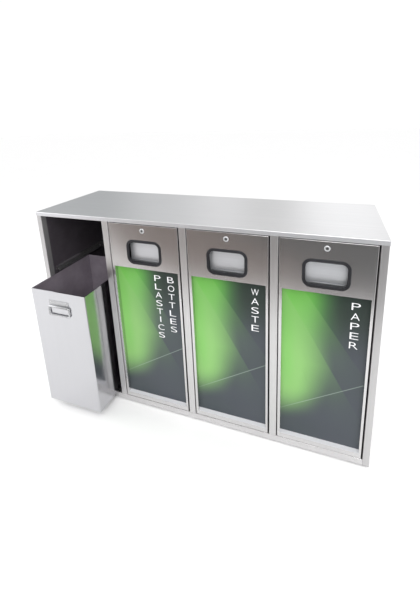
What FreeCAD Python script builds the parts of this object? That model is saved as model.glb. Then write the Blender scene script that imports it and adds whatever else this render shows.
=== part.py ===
import FreeCAD, Part
import math
import os
import re
import Sketcher

# A four-bay recycling bin station in folded stainless sheet. Millimetres, +Z up, the front towards -Y.
# The origin is on the floor, under the middle of the cabinet's footprint.

SIZES = {
    # the cabinet
    "body_width": 1600,
    "body_depth": 480,
    "body_height": 1014,
    "foot_gap": 6,
    "sheet_gauge": 1.5,
    "slip_gap": 0.3,
    "cap_flange": 19,
    "post_width": 26.6,
    "stile_width": 32,
    "stile_depth": 25,
    "rail_height": 30,
    "header_drop": 0.5,
    # the doors
    "door_gap_left": 4,
    "door_gap_right": 6.5,
    "door_gap_bottom": 2,
    "door_gap_top": 4,
    "door_depth": 25,
    "recess_left": 12.7,
    "recess_right": 10,
    "recess_top": 215,
    "recess_bottom": 23,
    "recess_depth": 20,
    "graphic_gauge": 3,
    "pivot_inset": 10,
    "pivot_radius": 4,
    "pivot_length": 14,
    "running_clearance": 0.05,
    "pin_head_radius": 7,
    "pin_head_height": 4,
    "bushing_radius": 6,
    "bushing_length": 12,
    "collar_radius": 9,
    "collar_height": 1.6,
    # the windows, their rubber trims and flaps
    "window_width": 153,
    "window_height": 95,
    "window_radius": 22,
    "window_drop": 134,
    "trim_lip": 13,
    "trim_proud": 2.5,
    "trim_wall": 3,
    "trim_back_lip": 7,
    "flap_setback": 22,
    "flap_gauge": 1.2,
    "flap_lap_side": 6,
    "flap_lap_bottom": 8,
    "flap_hem_height": 10,
    "flap_hem_depth": 4,
    "axle_rise": 10,
    "axle_radius": 3,
    "knuckle_wall": 1.5,
    "bracket_gauge": 2,
    "bracket_gap": 5,
    "bracket_height": 22,
    "bracket_foot": 14,
    # the locks
    "lock_drop": 28,
    "lock_face_radius": 11.5,
    "lock_face_height": 2,
    "lock_barrel_radius": 9,
    "lock_barrel_length": 26,
    "lock_plug_radius": 6,
    "lock_plug_extra": 2,
    "keyway_width": 1.8,
    "keyway_height": 7,
    "keyway_depth": 6,
    "cam_reach": 40,
    "cam_width": 16,
    "cam_gauge": 3,
    # the bins and what carries them
    "bin_width": 314,
    "bin_depth": 404,
    "bin_height": 640,
    "bin_gauge": 1,
    "bin_hem_height": 12,
    "bin_hem_gauge": 3,
    "bin_setback": 70,
    "bin_pulled_out": 140,
    "runner_height": 6,
    "runner_width": 20,
    "runner_inset": 40,
    "runner_end_gap": 30,
    "guide_leg": 25,
    "guide_gauge": 2,
    "guide_gap": 4,
    "guide_end_gap": 45,
    # the bins' handles
    "handle_width": 114,
    "handle_height": 29,
    "handle_drop": 45,
    "handle_gauge": 1.5,
    "bail_width": 125,
    "bail_drop": 49,
    "bail_wire_radius": 3.5,
    "bail_bend_radius": 7,
    "bail_end_gap": 1,
    "barrel_wall": 2,
    # feet and fasteners
    "foot_radius": 19,
    "foot_pad_height": 9,
    "foot_stud_radius": 5,
    "foot_inset_side": 70,
    "foot_inset_end": 55,
    "rivet_radius": 2,
    "rivet_head_radius": 4,
    "rivet_head_height": 1.2,
    "rivet_margin": 80,
    "cap_screw_radius": 2.5,
    "cap_screw_head_radius": 5.5,
    "cap_screw_head_height": 1.5,
    "cap_screw_length": 8,
}

# Places that follow from the sizes, each a formula on the ones above it.
PLACES = {
    "left_end": "0 - body_width / 2",
    "right_end": "body_width / 2",
    "front": "0 - body_depth / 2",
    "back": "body_depth / 2",
    "inner_back": "back - sheet_gauge",
    "base": "foot_gap",
    "tray_top": "base + rail_height",
    "roof": "base + body_height",
    "under_roof": "roof - sheet_gauge",
    "flange_bottom": "roof - cap_flange",
    "header_bottom": "flange_bottom - header_drop",
    "inner_width": "body_width - 2 * post_width",
    "bay_width": "(inner_width - 3 * stile_width) / 4",
    "bay_pitch": "bay_width + stile_width",
    "door_width": "bay_width - door_gap_left - door_gap_right",
    "door_bottom": "tray_top + door_gap_bottom",
    "door_top": "flange_bottom - door_gap_top",
    "pan_depth": "recess_depth + graphic_gauge",
    "recess_floor_z": "door_bottom + recess_bottom",
    "recess_roof_z": "door_top - recess_top",
    "window_z": "door_top - window_drop",
    "axle_z": "window_z + window_height / 2 + axle_rise",
    "axle_y": "front + flap_setback",
    "flap_bottom": "window_z - window_height / 2 - flap_lap_bottom",
    "flap_half_width": "window_width / 2 + flap_lap_side",
    "knuckle_radius": "axle_radius + running_clearance + knuckle_wall",
    "bracket_x": "flap_half_width + bracket_gap",
    "lock_z": "door_top - lock_drop",
    "cam_y": "front + lock_barrel_length + lock_plug_extra",
    "runner_top": "tray_top + runner_height",
    "bin_top": "runner_top + bin_height",
    "guide_z": "bin_top + guide_gap",
    "handle_top": "bin_top - handle_drop",
    "bail_z": "handle_top - handle_height",
    "barrel_radius": "bail_wire_radius + running_clearance + barrel_wall",
    "bail_offset": "barrel_radius + running_clearance",
    "bail_half_width": "bail_width / 2 - bail_wire_radius",
    "barrel_half_length": "bail_half_width - bail_bend_radius - bail_end_gap",
}

BAYS = (1, 2, 3, 4)
DOOR_BAYS = (2, 3, 4)
TURN_TO_AXIS = {
    "x": FreeCAD.Rotation(FreeCAD.Vector(0, 1, 0), 90),
    "y": FreeCAD.Rotation(FreeCAD.Vector(1, 0, 0), -90),
    "z": FreeCAD.Rotation(),
}
CUT_PAST = 2  # how far a cutting tool runs past the face that it opens

doc = FreeCAD.newDocument("recycling_bin_station")
sheet = doc.addObject("Spreadsheet::Sheet", "sizes")
for row, (alias, size) in enumerate(SIZES.items(), start=1):
    sheet.set(f"A{row}", alias)
    sheet.set(f"B{row}", str(size))
    sheet.setAlias(f"B{row}", alias)
doc.recompute()

pieces = []


def formula(text):
    """Write a formula on named sizes and places as an expression on the sheet's cells."""
    def cell(match):
        word = match.group(0)
        if word in PLACES:
            return "(" + formula(PLACES[word]) + ")"
        if word in SIZES:
            return "sizes." + word
        raise ValueError(f"no size or place is called {word}")
    return re.sub(r"[a-z][a-z_]*", cell, str(text))


def bind(item, **formulas):
    """Bind an object's properties to formulas; a double underscore stands for a dot."""
    for name, text in formulas.items():
        item.setExpression(name.replace("__", "."), formula(text))
    return item


def place(item, x, y, z):
    """Put an object's own origin at a point given by three formulas."""
    return bind(item, Placement__Base__x=x, Placement__Base__y=y, Placement__Base__z=z)


def box(name, x, y, z):
    """A block; x, y and z are each a pair of formulas, its low side and its high side."""
    block = doc.addObject("Part::Box", name)
    spans = [f"({high}) - ({low})" for low, high in (x, y, z)]
    bind(block, Length=spans[0], Width=spans[1], Height=spans[2])
    return place(block, x[0], y[0], z[0])


def rod(name, axis, radius, x, y, z):
    """A cylinder along one axis, whose entry is a (low, high) pair; the other two are its centre."""
    centre = {"x": x, "y": y, "z": z}
    low, high = centre[axis]
    centre[axis] = low
    cylinder = doc.addObject("Part::Cylinder", name)
    cylinder.Placement = FreeCAD.Placement(FreeCAD.Vector(), TURN_TO_AXIS[axis])
    bind(cylinder, Radius=radius, Height=f"({high}) - ({low})")
    return place(cylinder, centre["x"], centre["y"], centre["z"])


def fuse(name, *shapes):
    """Join shapes that touch or overlap into one solid."""
    joined = doc.addObject("Part::MultiFuse", name)
    joined.Shapes = list(shapes)
    joined.Refine = True
    return joined


def cut(name, base, *tools):
    """Take one or more tools away from a base."""
    result = doc.addObject("Part::Cut", name)
    result.Base = base
    result.Tool = tools[0] if len(tools) == 1 else fuse(name + "_tools", *tools)
    result.Refine = True
    return result


def group(name, *solids):
    """Keep separate solids together in one node."""
    together = doc.addObject("Part::Compound", name)
    together.Links = list(solids)
    return together


def piece(node, item):
    """Mark an object as a finished sub-part, named after its node."""
    item.Label = node
    pieces.append(item)
    return item


def inside(low, high, wall="sheet_gauge"):
    """The pair of formulas one wall inside another pair."""
    return (f"{low} + {wall}", f"{high} - {wall}")


def past(low, high):
    """The same span, run past both of its ends for a cutting tool."""
    return (f"{low} - {CUT_PAST}", f"{high} + {CUT_PAST}")


def bay_left(bay):
    return f"left_end + post_width + {bay - 1} * bay_pitch"


def bay_middle(bay):
    return f"({bay_left(bay)} + bay_width / 2)"


def door_left(bay):
    return f"({bay_left(bay)} + door_gap_left)"


def door_right(bay):
    return f"({bay_left(bay)} + bay_width - door_gap_right)"


def pivot_x(bay):
    return f"({door_right(bay)} - pivot_inset)"


PIVOT_Y = "front + pivot_inset"


# Bodies and sketches, for the pieces that are padded from an outline.
START_WIDTH = 80.0  # where the solver starts; the bound sizes take over at once
START_HEIGHT = 50.0
START_RADIUS = 8.0


def new_body(name, x, y, z):
    return place(doc.addObject("PartDesign::Body", name), x, y, z)


def new_sketch(body, name, plane):
    """An empty sketch on one of the body's own origin planes."""
    sketch = body.newObject("Sketcher::SketchObject", name)
    for feature in body.Origin.OriginFeatures:
        if feature.Role == plane:
            sketch.AttachmentSupport = [(feature, "")]
    sketch.MapMode = "FlatFace"
    return sketch


def rounded_outline(body, name, width, height, radius):
    """A rounded rectangle centred on the body's XZ plane."""
    sketch = new_sketch(body, name, "XZ_Plane")
    constraint = Sketcher.Constraint
    r, half_w, half_h = START_RADIUS, START_WIDTH / 2, START_HEIGHT / 2
    signs = ((1, 1), (-1, 1), (-1, -1), (1, -1))
    for turn, (side, level) in enumerate(signs):
        middle = FreeCAD.Vector(side * (half_w - r), level * (half_h - r), 0)
        circle = Part.Circle(middle, FreeCAD.Vector(0, 0, 1), r)
        sketch.addGeometry(Part.ArcOfCircle(circle, turn * math.pi / 2, (turn + 1) * math.pi / 2))
    for corner in range(4):
        start = sketch.getPoint(corner, 2)
        end = sketch.getPoint((corner + 1) % 4, 1)
        sketch.addGeometry(Part.LineSegment(start, end))
    for corner in range(4):
        sketch.addConstraint(constraint("Tangent", corner, 2, 4 + corner, 1))
        sketch.addConstraint(constraint("Tangent", 4 + corner, 2, (corner + 1) % 4, 1))
        sketch.addConstraint(constraint("Vertical" if corner % 2 else "Horizontal", 4 + corner))
    for corner in (1, 2, 3):
        sketch.addConstraint(constraint("Equal", 0, corner))
    sketch.addConstraint(constraint("Symmetric", 4, 1, 6, 1, -1, 1))
    sizes = (
        ("width", constraint("DistanceX", 5, 1, 7, 1, START_WIDTH), width),
        ("height", constraint("DistanceY", 6, 1, 4, 1, START_HEIGHT), height),
        ("radius", constraint("Radius", 0, r), radius),
    )
    for label, limit, size in sizes:
        sketch.renameConstraint(sketch.addConstraint(limit), label)
        sketch.setExpression("Constraints." + label, formula(size))
    return sketch


def pad(body, name, sketch, length, backwards):
    """Pad a sketch on the XZ plane towards the front, or backwards."""
    feature = body.newObject("PartDesign::Pad", name)
    feature.Profile = sketch
    feature.Reversed = backwards
    return bind(feature, Length=length)


def through_pocket(body, name, sketch):
    """Cut a sketch through the whole body, both ways."""
    feature = body.newObject("PartDesign::Pocket", name)
    feature.Profile = sketch
    feature.Type = "ThroughAll"
    feature.Midplane = True
    return feature


# The cabinet.

def side_panel(node, outer, inner):
    """A closed side cassette, open only at its top and bottom, where the cap and the floor meet it."""
    y = ("front", "inner_back")
    z = ("base", "under_roof")
    block = box(node + "_block", (outer, inner), y, z)
    hollow = box(node + "_hollow", inside(outer, inner), inside(*y), past(*z))
    return piece(node, cut(node, block, hollow))


def floor_panel():
    """The tray that the bins stand on, with its edges folded down; its front edge is the bottom rail."""
    x = ("left_end + post_width", "right_end - post_width")
    y = ("front", "inner_back")
    z = ("base", "tray_top")
    block = box("floor_block", x, y, z)
    under = box("floor_under", inside(*x), inside(*y), (f"base - {CUT_PAST}", "tray_top - sheet_gauge"))
    holes = [
        rod(f"floor_pivot_hole_{bay}", "z", "bushing_radius", pivot_x(bay), PIVOT_Y, past("base", "tray_top"))
        for bay in BAYS
    ]
    return piece("floor_panel", cut("floor_panel", block, under, *holes))


def header_rail():
    """The square tube under the cap's front edge; it carries the doors' upper bushings."""
    x = ("left_end + post_width", "right_end - post_width")
    y = ("front", "front + stile_depth")
    z = ("header_bottom", "under_roof")
    block = box("header_block", x, y, z)
    hollow = box("header_hollow", past(*x), inside(*y), inside(*z))
    holes = [
        rod(
            f"header_pivot_hole_{bay}",
            "z",
            "bushing_radius",
            pivot_x(bay),
            PIVOT_Y,
            (f"header_bottom - {CUT_PAST}", "header_bottom + sheet_gauge"),
        )
        for bay in BAYS
    ]
    screw_hole = rod(
        "header_screw_hole",
        "y",
        "cap_screw_radius",
        "0",
        (f"front - {CUT_PAST}", "front + sheet_gauge"),
        "flange_bottom + cap_flange / 2",
    )
    return piece("header_rail", cut("header_rail", block, hollow, screw_hole, *holes))


def top_panel():
    """The cap: a sheet with its edges folded down over the panels."""
    margin = "sheet_gauge + slip_gap"
    x = (f"left_end - ({margin})", f"right_end + {margin}")
    y = (f"front - ({margin})", f"back + {margin}")
    block = box("cap_block", x, y, ("flange_bottom", "roof"))
    under = box("cap_under", inside(*x), inside(*y), (f"flange_bottom - {CUT_PAST}", "under_roof"))
    screw_hole = rod(
        "cap_screw_hole",
        "y",
        "cap_screw_radius",
        "0",
        (f"front - {margin} - {CUT_PAST}", "front"),
        "flange_bottom + cap_flange / 2",
    )
    return piece("top_panel", cut("top_panel", block, under, screw_hole))


def rivet_places():
    """Where the back panel is riveted: x and z formulas, down each post and divider."""
    columns = ["left_end + post_width / 2", "right_end - post_width / 2"]
    columns += [f"({bay_left(bay)} - stile_width / 2)" for bay in DOOR_BAYS]
    low, high = "(base + rivet_margin)", "(flange_bottom - rivet_margin)"
    steps = 4
    rows = [f"({low} + ({high} - {low}) * {step} / {steps})" for step in range(steps + 1)]
    return [(x, z) for x in columns for z in rows]


def back_panel():
    block = box("back_block", ("left_end", "right_end"), ("inner_back", "back"), ("base", "under_roof"))
    holes = [
        rod(f"rivet_hole_{count}", "y", "rivet_radius", x, past("inner_back", "back"), z)
        for count, (x, z) in enumerate(rivet_places(), start=1)
    ]
    return piece("back_panel", cut("back_panel", block, *holes))


def divider_panel(bay):
    """The hollow wall to the left of a bay, behind its stile."""
    node = f"divider_panel_{bay - 1}"
    x = (f"{bay_left(bay)} - stile_width", bay_left(bay))
    y = ("front + stile_depth", "inner_back")
    z = ("tray_top", "under_roof")
    block = box(node + "_block", x, y, z)
    hollow = box(node + "_hollow", inside(*x), inside(*y), past(*z))
    return piece(node, cut(node, block, hollow))


def stile(bay):
    """The channel between two doors, to the left of a bay; its open side is against the divider."""
    node = f"stile_{bay - 1}"
    x = (f"{bay_left(bay)} - stile_width", bay_left(bay))
    z = ("tray_top", "header_bottom")
    y_back = "front + stile_depth"
    block = box(node + "_block", x, ("front", y_back), z)
    hollow = box(node + "_hollow", inside(*x), ("front + sheet_gauge", f"{y_back} + {CUT_PAST}"), past(*z))
    return piece(node, cut(node, block, hollow))


def guide_rails():
    """An angle on each wall of each bay, just over the bin's rim, so that waste falls into the bin."""
    y = ("front + guide_end_gap", "inner_back - guide_end_gap")
    z = ("guide_z", "guide_z + guide_leg")
    angles = []
    for bay in BAYS:
        left = bay_left(bay)
        right = f"{left} + bay_width"
        walls = {
            "left": (
                (left, f"{left} + guide_leg"),
                (f"{left} + guide_gauge", f"{left} + guide_leg + {CUT_PAST}"),
            ),
            "right": (
                (f"{right} - guide_leg", right),
                (f"{right} - guide_leg - {CUT_PAST}", f"{right} - guide_gauge"),
            ),
        }
        for side, (outer, waste) in walls.items():
            name = f"guide_{side}_{bay}"
            block = box(name + "_block", outer, y, z)
            corner = box(name + "_corner", waste, past(*y), ("guide_z + guide_gauge", f"{z[1]} + {CUT_PAST}"))
            angles.append(cut(name, block, corner))
    return piece("guide_rails", group("guide_rails", *angles))


def bin_runners():
    """Two low strips under each bin, which it slides on."""
    y = ("front + runner_end_gap", "inner_back - runner_end_gap")
    strips = []
    for bay in BAYS:
        for side, sign in (("left", "-"), ("right", "+")):
            middle = f"({bay_middle(bay)} {sign} (bin_width / 2 - runner_inset))"
            x = (f"{middle} - runner_width / 2", f"{middle} + runner_width / 2")
            strips.append(box(f"runner_{side}_{bay}", x, y, ("tray_top", "runner_top")))
    return piece("bin_runners", group("bin_runners", *strips))


def levelling_feet():
    """Five feet, at the corners and in the middle: a round pad on the floor and a stud up to the tray."""
    left, right = "left_end + foot_inset_side", "right_end - foot_inset_side"
    front, back = "front + foot_inset_end", "back - foot_inset_end"
    places = {
        "front_left": (left, front),
        "front_right": (right, front),
        "middle": ("0", "0"),
        "back_left": (left, back),
        "back_right": (right, back),
    }
    feet = []
    for place_name, (x, y) in places.items():
        name = f"foot_{place_name}"
        base = rod(name + "_pad", "z", "foot_radius", x, y, ("0", "foot_pad_height"))
        stud = rod(name + "_stud", "z", "foot_stud_radius", x, y, ("0", "tray_top - sheet_gauge"))
        feet.append(fuse(name, base, stud))
    return piece("levelling_feet", group("levelling_feet", *feet))


def pivot_bushings():
    """A collared bushing in the tray and one in the header for each door, the missing one's included."""
    ends = {
        "lower": ("tray_top - bushing_length", "tray_top", "tray_top + collar_height"),
        "upper": ("header_bottom + bushing_length", "header_bottom", "header_bottom - collar_height"),
    }
    bushings = []
    for bay in BAYS:
        centre = {"x": pivot_x(bay), "y": PIVOT_Y}
        for end, (far, seat, face) in ends.items():
            name = f"bushing_{end}_{bay}"
            low, high = (far, face) if end == "lower" else (face, far)
            barrel_z = (low, seat) if end == "lower" else (seat, high)
            collar_z = (seat, high) if end == "lower" else (low, seat)
            barrel = rod(name + "_barrel", "z", "bushing_radius", z=barrel_z, **centre)
            collar = rod(name + "_collar", "z", "collar_radius", z=collar_z, **centre)
            bore = rod(name + "_bore", "z", "pivot_radius + running_clearance", z=past(low, high), **centre)
            bushings.append(cut(name, fuse(name + "_turned", barrel, collar), bore))
    return piece("pivot_bushings", group("pivot_bushings", *bushings))


def frame_fasteners():
    """The back panel's rivets and the screw in the middle of the cap's front edge."""
    fasteners = []
    for count, (x, z) in enumerate(rivet_places(), start=1):
        shank = rod(f"rivet_{count}_shank", "y", "rivet_radius", x, ("inner_back", "back"), z)
        head_y = ("back", "back + rivet_head_height")
        head = rod(f"rivet_{count}_head", "y", "rivet_head_radius", x, head_y, z)
        fasteners.append(fuse(f"rivet_{count}", shank, head))
    z = "flange_bottom + cap_flange / 2"
    face = "(front - sheet_gauge - slip_gap)"
    shank_y, head_y = (face, f"{face} + cap_screw_length"), (f"{face} - cap_screw_head_height", face)
    shank = rod("cap_screw_shank", "y", "cap_screw_radius", "0", shank_y, z)
    head = rod("cap_screw_head", "y", "cap_screw_head_radius", "0", head_y, z)
    fasteners.append(fuse("cap_screw", shank, head))
    return piece("frame_fasteners", group("frame_fasteners", *fasteners))


# The doors, one for each of the bays 2 to 4, each with its window, flap and lock.

def door_panel(bay):
    """A folded door: a face with edges turned back, and a deep pan for the graphic panel below the window."""
    node = f"door_panel_{bay}"
    x = (door_left(bay), door_right(bay))
    y = ("front", "front + door_depth")
    z = ("door_bottom", "door_top")
    pan_x = (f"{x[0]} + recess_left", f"{x[1]} - recess_right")
    pan_z = ("recess_floor_z", "recess_roof_z")
    block = box(node + "_block", x, y, z)
    hollow = box(node + "_hollow", inside(*x), ("front + sheet_gauge", f"{y[1]} + {CUT_PAST}"), inside(*z))
    shell = cut(node + "_shell", block, hollow)
    pan = box(
        node + "_pan",
        (f"{pan_x[0]} - sheet_gauge", f"{pan_x[1]} + sheet_gauge"),
        ("front", "front + pan_depth + sheet_gauge"),
        (f"{pan_z[0]} - sheet_gauge", f"{pan_z[1]} + sheet_gauge"),
    )
    recess = box(node + "_recess", pan_x, (f"front - {CUT_PAST}", "front + pan_depth"), pan_z)
    opening = window_cutter(node + "_window", bay)
    lock_hole = rod(
        node + "_lock_hole",
        "y",
        "lock_barrel_radius",
        bay_middle(bay),
        (f"front - {CUT_PAST}", "front + door_depth / 2"),
        "lock_z",
    )
    pin_holes = [
        rod(f"{node}_{end}_pin_hole", "z", "pivot_radius", pivot_x(bay), PIVOT_Y, past(*span))
        for end, span in (
            ("lower", ("door_bottom", "door_bottom + sheet_gauge")),
            ("upper", ("door_top - sheet_gauge", "door_top")),
        )
    ]
    blank = fuse(node + "_blank", shell, pan)
    return piece(node, cut(node, blank, recess, opening, lock_hole, *pin_holes))


def window_cutter(name, bay):
    """The hole that the rubber trim sits in, as a solid to cut with."""
    body = new_body(name, bay_middle(bay), "front", "window_z")
    outline = rounded_outline(
        body,
        name + "_outline",
        "window_width + 2 * trim_wall",
        "window_height + 2 * trim_wall",
        "window_radius + trim_wall",
    )
    feature = pad(body, name + "_pad", outline, "door_depth", False)
    feature.Midplane = True
    return body


def graphic_panel(bay):
    """The printed panel, flat on the back of the door's pan."""
    node = f"graphic_panel_{bay}"
    x = (f"{door_left(bay)} + recess_left", f"{door_right(bay)} - recess_right")
    panel = box(node, x, ("front + recess_depth", "front + pan_depth"), ("recess_floor_z", "recess_roof_z"))
    return piece(node, panel)


def window_trim(bay):
    """The rubber trim: a lip in front of the door's face, a neck through it and a lip behind it."""
    node = f"window_trim_{bay}"
    body = new_body(node, bay_middle(bay), "front", "window_z")
    rings = (
        ("front_lip", "trim_lip", "trim_proud", False),
        ("neck", "trim_wall", "sheet_gauge", True),
    )
    for name, wall, length, backwards in rings:
        outline = rounded_outline(
            body,
            f"{node}_{name}_outline",
            f"window_width + 2 * {wall}",
            f"window_height + 2 * {wall}",
            f"window_radius + {wall}",
        )
        pad(body, f"{node}_{name}", outline, length, backwards)
    back_outline = rounded_outline(
        body,
        node + "_back_outline",
        "window_width + 2 * trim_back_lip",
        "window_height + 2 * trim_back_lip",
        "window_radius + trim_back_lip",
    )
    bind(back_outline, AttachmentOffset__Base__z="0 - sheet_gauge")
    pad(body, node + "_back_lip", back_outline, "trim_proud", True)
    opening = rounded_outline(
        body, node + "_opening", "window_width", "window_height", "window_radius"
    )
    through_pocket(body, node + "_through", opening)
    return piece(node, body)


def flap(bay):
    """The swinging flap: a rolled knuckle on the axle, a plain sheet and a hemmed lower edge."""
    node = f"flap_{bay}"
    middle = bay_middle(bay)
    x = (f"{middle} - flap_half_width", f"{middle} + flap_half_width")
    knuckle = rod(node + "_knuckle", "x", "knuckle_radius", x, "axle_y", "axle_z")
    blade_y = ("axle_y - flap_gauge / 2", "axle_y + flap_gauge / 2")
    blade = box(node + "_blade", x, blade_y, ("flap_bottom", "axle_z"))
    hem_y = (f"axle_y + flap_gauge / 2 - flap_hem_depth", "axle_y + flap_gauge / 2")
    hem = box(node + "_hem", x, hem_y, ("flap_bottom", "flap_bottom + flap_hem_height"))
    bore = rod(node + "_bore", "x", "axle_radius + running_clearance", past(*x), "axle_y", "axle_z")
    return piece(node, cut(node, fuse(node + "_blank", knuckle, blade, hem), bore))


def flap_axle(bay):
    node = f"flap_axle_{bay}"
    middle = bay_middle(bay)
    reach = "bracket_x + bracket_gauge + bracket_gauge"
    x = (f"{middle} - ({reach})", f"{middle} + {reach}")
    return piece(node, rod(node, "x", "axle_radius", x, "axle_y", "axle_z"))


def flap_brackets(bay):
    """Two angle brackets on the back of the door's face, which hold the flap's axle."""
    node = f"flap_brackets_{bay}"
    middle = bay_middle(bay)
    z = ("axle_z - bracket_height / 2", "axle_z + bracket_height / 2")
    face = "front + sheet_gauge"
    brackets = []
    for side, sign in (("left", "-"), ("right", "+")):
        name = f"{node}_{side}"
        near = f"({middle} {sign} bracket_x)"
        ear_far = f"({near} {sign} bracket_gauge)"
        foot_far = f"({near} {sign} bracket_foot)"
        ear_x = (near, ear_far) if sign == "+" else (ear_far, near)
        foot_x = (near, foot_far) if sign == "+" else (foot_far, near)
        ear = box(name + "_ear", ear_x, (face, "axle_y + bracket_height / 3"), z)
        foot = box(name + "_foot", foot_x, (face, f"{face} + bracket_gauge"), z)
        hole = rod(name + "_hole", "x", "axle_radius", past(*ear_x), "axle_y", "axle_z")
        brackets.append(cut(name, fuse(name + "_blank", ear, foot), hole))
    return piece(node, group(node, *brackets))


def lock_barrel(bay):
    """The lock's housing: a round face on the door and a barrel through it."""
    node = f"lock_barrel_{bay}"
    place_at = {"x": bay_middle(bay), "z": "lock_z"}
    face_y, barrel_y = ("front - lock_face_height", "front"), ("front", "front + lock_barrel_length")
    face = rod(node + "_face", "y", "lock_face_radius", y=face_y, **place_at)
    barrel = rod(node + "_tube", "y", "lock_barrel_radius", y=barrel_y, **place_at)
    bore = rod(
        node + "_bore",
        "y",
        "lock_plug_radius + running_clearance",
        y=past("front - lock_face_height", "front + lock_barrel_length"),
        **place_at,
    )
    return piece(node, cut(node, fuse(node + "_turned", face, barrel), bore))


def lock_plug(bay):
    """The part of the lock that the key turns, with its keyway."""
    node = f"lock_plug_{bay}"
    face = "front - lock_face_height"
    middle = bay_middle(bay)
    plug = rod(node + "_turned", "y", "lock_plug_radius", middle, (face, "cam_y"), "lock_z")
    keyway = box(
        node + "_keyway",
        (f"{middle} - keyway_width / 2", f"{middle} + keyway_width / 2"),
        (f"{face} - {CUT_PAST}", f"{face} + keyway_depth"),
        ("lock_z - keyway_height / 2", "lock_z + keyway_height / 2"),
    )
    return piece(node, cut(node, plug, keyway))


def lock_cam(bay):
    """The tongue on the end of the plug; unlocked it lies level, locked it stands up behind the header."""
    node = f"lock_cam_{bay}"
    middle = bay_middle(bay)
    y = ("cam_y", "cam_y + cam_gauge")
    eye = rod(node + "_eye", "y", "cam_width / 2", middle, y, "lock_z")
    tongue = box(
        node + "_tongue",
        (f"{middle} - cam_reach", middle),
        y,
        ("lock_z - cam_width / 2", "lock_z + cam_width / 2"),
    )
    return piece(node, fuse(node, eye, tongue))


def pivot_pins(bay):
    """The door's lower and upper pins, each with a head inside the door's folded edge."""
    node = f"pivot_pins_{bay}"
    centre = {"x": pivot_x(bay), "y": PIVOT_Y}
    inner_low = "(door_bottom + sheet_gauge)"
    inner_high = "(door_top - sheet_gauge)"
    spans = {
        "lower": (
            ("tray_top - pivot_length", inner_low),
            (inner_low, f"{inner_low} + pin_head_height"),
        ),
        "upper": (
            (inner_high, "header_bottom + pivot_length"),
            (f"{inner_high} - pin_head_height", inner_high),
        ),
    }
    pins = []
    for end, (shaft_z, head_z) in spans.items():
        shaft = rod(f"{node}_{end}_shaft", "z", "pivot_radius", z=shaft_z, **centre)
        head = rod(f"{node}_{end}_head", "z", "pin_head_radius", z=head_z, **centre)
        pins.append(fuse(f"{node}_{end}", shaft, head))
    return piece(node, group(node, *pins))


# The bins. Bin 1 stands pulled out of its open bay, the others are behind their doors.

def bin_front(bay):
    return "(front - bin_pulled_out)" if bay == 1 else "(front + bin_setback)"


def bin_shell(bay):
    """An open box with a thick hem turned in round its rim."""
    node = f"bin_{bay}"
    middle = bay_middle(bay)
    x = (f"{middle} - bin_width / 2", f"{middle} + bin_width / 2")
    y = (bin_front(bay), f"{bin_front(bay)} + bin_depth")
    block = box(node + "_block", x, y, ("runner_top", "bin_top"))
    hollow = box(
        node + "_hollow",
        inside(*x, "bin_gauge"),
        inside(*y, "bin_gauge"),
        ("runner_top + bin_gauge", "bin_top - bin_hem_height"),
    )
    mouth = box(
        node + "_mouth",
        inside(*x, "bin_hem_gauge"),
        inside(*y, "bin_hem_gauge"),
        ("bin_top - bin_hem_height", f"bin_top + {CUT_PAST}"),
    )
    return piece(node, cut(node, block, hollow, mouth))


def bail_y(bay):
    return f"({bin_front(bay)} - bail_offset)"


def handle_plate(bay):
    """The plate on the bin's front, rolled at its lower edge round the bail's wire."""
    node = f"handle_plate_{bay}"
    middle = bay_middle(bay)
    plate_x = (f"{middle} - handle_width / 2", f"{middle} + handle_width / 2")
    barrel_x = (f"{middle} - barrel_half_length", f"{middle} + barrel_half_length")
    plate = box(
        node + "_plate",
        plate_x,
        (f"{bin_front(bay)} - handle_gauge", bin_front(bay)),
        ("bail_z + bail_wire_radius", "handle_top"),
    )
    web = box(
        node + "_web",
        barrel_x,
        (f"{bin_front(bay)} - handle_gauge", bin_front(bay)),
        ("bail_z", "bail_z + bail_wire_radius"),
    )
    barrel = rod(node + "_barrel", "x", "barrel_radius", barrel_x, bail_y(bay), "bail_z")
    bore = rod(
        node + "_bore", "x", "bail_wire_radius + running_clearance", past(*barrel_x), bail_y(bay), "bail_z"
    )
    return piece(node, cut(node, fuse(node + "_blank", plate, web, barrel), bore))


def bail(bay):
    """The wire handle: a closed loop with round corners, hanging from its top run in the plate's barrel."""
    node = f"bail_{bay}"
    drop = "(bail_drop - bail_wire_radius)"
    body = new_body(node, bay_middle(bay), bail_y(bay), f"bail_z - {drop} / 2")
    spine = rounded_outline(body, node + "_spine", "2 * bail_half_width", drop, "bail_bend_radius")
    section = new_sketch(body, node + "_section", "YZ_Plane")
    section.addGeometry(Part.Circle(FreeCAD.Vector(0, START_HEIGHT, 0), FreeCAD.Vector(0, 0, 1), 1.0))
    limits = (
        ("radius", Sketcher.Constraint("Radius", 0, 1.0), "bail_wire_radius"),
        ("height", Sketcher.Constraint("DistanceY", -1, 1, 0, 3, START_HEIGHT), f"{drop} / 2"),
    )
    section.addConstraint(Sketcher.Constraint("PointOnObject", 0, 3, -2))
    for label, limit, size in limits:
        section.renameConstraint(section.addConstraint(limit), label)
        section.setExpression("Constraints." + label, formula(size))
    pipe = body.newObject("PartDesign::AdditivePipe", node + "_wire")
    pipe.Profile = section
    pipe.Spine = spine
    return piece(node, body)


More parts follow.
